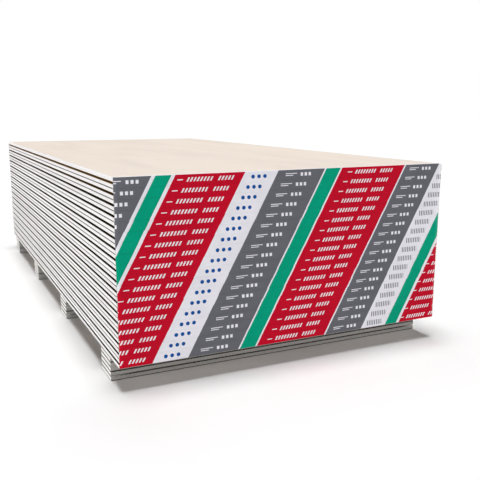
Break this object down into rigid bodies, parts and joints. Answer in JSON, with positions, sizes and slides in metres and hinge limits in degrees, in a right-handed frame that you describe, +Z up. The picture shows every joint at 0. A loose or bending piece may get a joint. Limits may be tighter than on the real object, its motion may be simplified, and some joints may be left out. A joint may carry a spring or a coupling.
{
  "type": "stack of drywall sheets",
  "caption": "Stack of full-size drywall sheets with tapered long edges, end-taped in face-to-face pairs and lying flat on cross risers that leave fork gaps.",
  "frame": {"origin": "centre of the footprint, on the floor under the risers", "axes": "+X across the width of the sheets, +Y along their length away from the printed end, +Z up"},
  "size_m": [1.2192, 2.4388, 0.6604],
  "materials": {
    "board_paper": "matte",
    "printed_tape": "satin",
    "plain_tape": "satin",
    "riser_board": "matte"
  },
  "bodies": {
    "root": {"sheet_01": "board_paper", "sheet_02": "board_paper", "sheet_03": "board_paper", "sheet_04": "board_paper", "sheet_05": "board_paper", "sheet_06": "board_paper", "sheet_07": "board_paper", "sheet_08": "board_paper", "sheet_09": "board_paper", "sheet_10": "board_paper", "sheet_11": "board_paper", "sheet_12": "board_paper", "sheet_13": "board_paper", "sheet_14": "board_paper", "sheet_15": "board_paper", "sheet_16": "board_paper", "sheet_17": "board_paper", "sheet_18": "board_paper", "sheet_19": "board_paper", "sheet_20": "board_paper", "sheet_21": "board_paper", "sheet_22": "board_paper", "sheet_23": "board_paper", "sheet_24": "board_paper", "sheet_25": "board_paper", "sheet_26": "board_paper", "sheet_27": "board_paper", "sheet_28": "board_paper", "sheet_29": "board_paper", "sheet_30": "board_paper", "sheet_31": "board_paper", "sheet_32": "board_paper", "sheet_33": "board_paper", "sheet_34": "board_paper", "sheet_35": "board_paper", "sheet_36": "board_paper", "front_end_tapes": "printed_tape", "rear_end_tapes": "plain_tape", "riser_1": "riser_board", "riser_2": "riser_board", "riser_3": "riser_board", "riser_4": "riser_board"}
  },
  "joints": []
}
